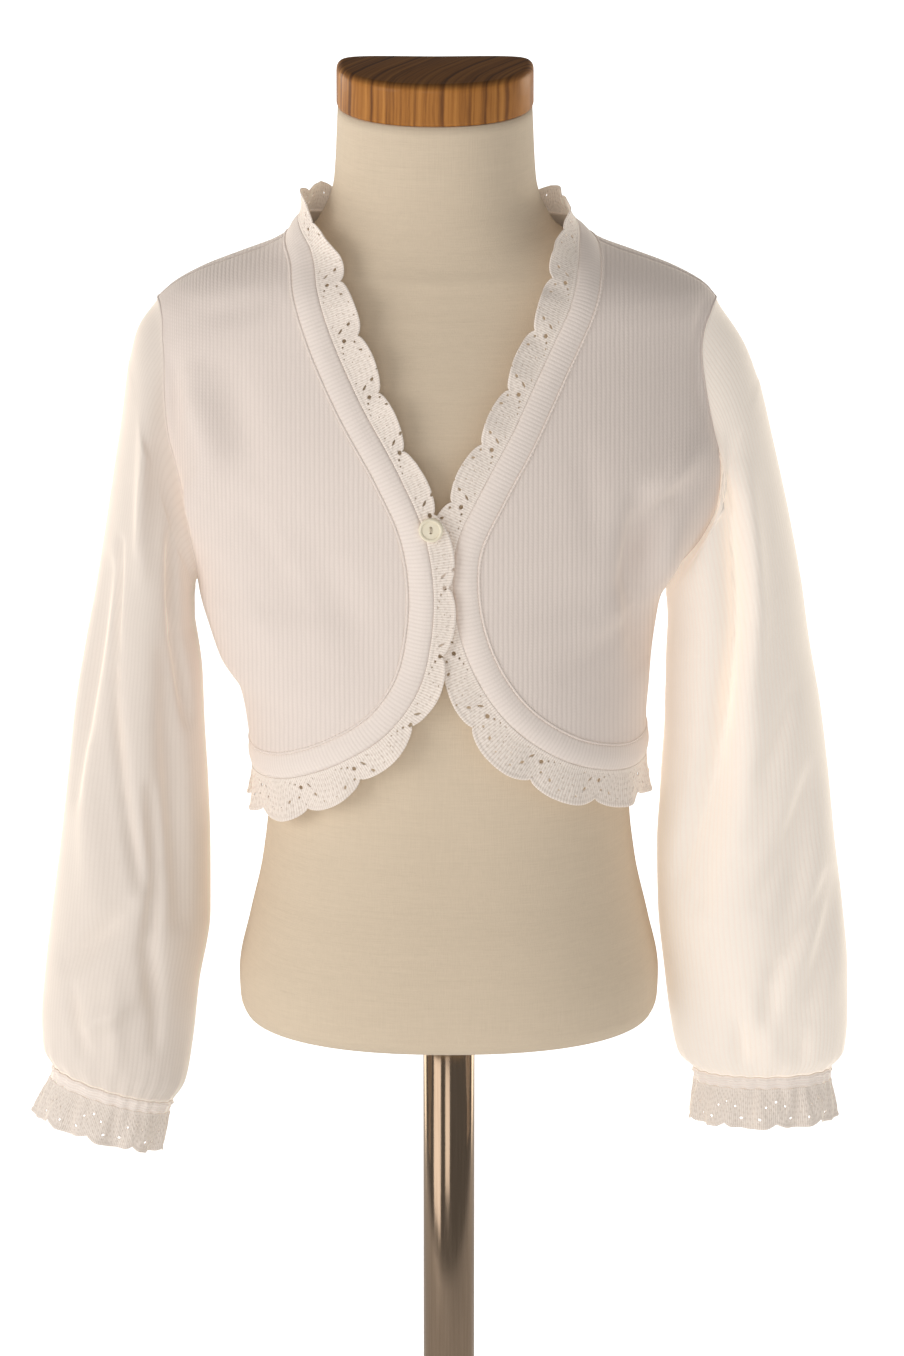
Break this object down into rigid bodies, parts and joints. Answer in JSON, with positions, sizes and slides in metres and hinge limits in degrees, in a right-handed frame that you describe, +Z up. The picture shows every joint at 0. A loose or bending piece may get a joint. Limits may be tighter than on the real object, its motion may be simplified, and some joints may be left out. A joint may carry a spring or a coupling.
{
  "type": "knitted cardigan on a dress form",
  "caption": "Short rounded child's knit cardigan with scalloped lace edges and one button, on a limbless dress form with a neck cap, pole and round base.",
  "frame": {"origin": "middle of the stand base's underside, on the floor", "axes": "+Z up the pole towards the neck cap, -Y towards the front with the button, +X towards the wearer's left sleeve"},
  "size_m": [0.3962, 0.25, 0.7237],
  "materials": {
    "knit": "fine plain knit",
    "rib": "close knitted band",
    "lace": "scalloped cotton lace",
    "canvas": "woven canvas over padding",
    "wood": "satin varnish",
    "steel": "brushed",
    "ivory": "soft gloss"
  },
  "bodies": {
    "root": {"stand_base": "steel", "stand_pole": "steel", "form_torso": "canvas", "neck_cap": "wood", "back": "knit", "front_right": "knit", "front_left": "knit", "sleeve_right": "knit", "sleeve_left": "knit", "cuff_band_right": "rib", "cuff_band_left": "rib", "cuff_lace_right": "lace", "cuff_lace_left": "lace", "band_right": "rib", "band_hem": "rib", "band_left": "rib", "lace_right": "lace", "lace_hem": "lace", "lace_left": "lace", "button": "ivory"}
  },
  "joints": []
}
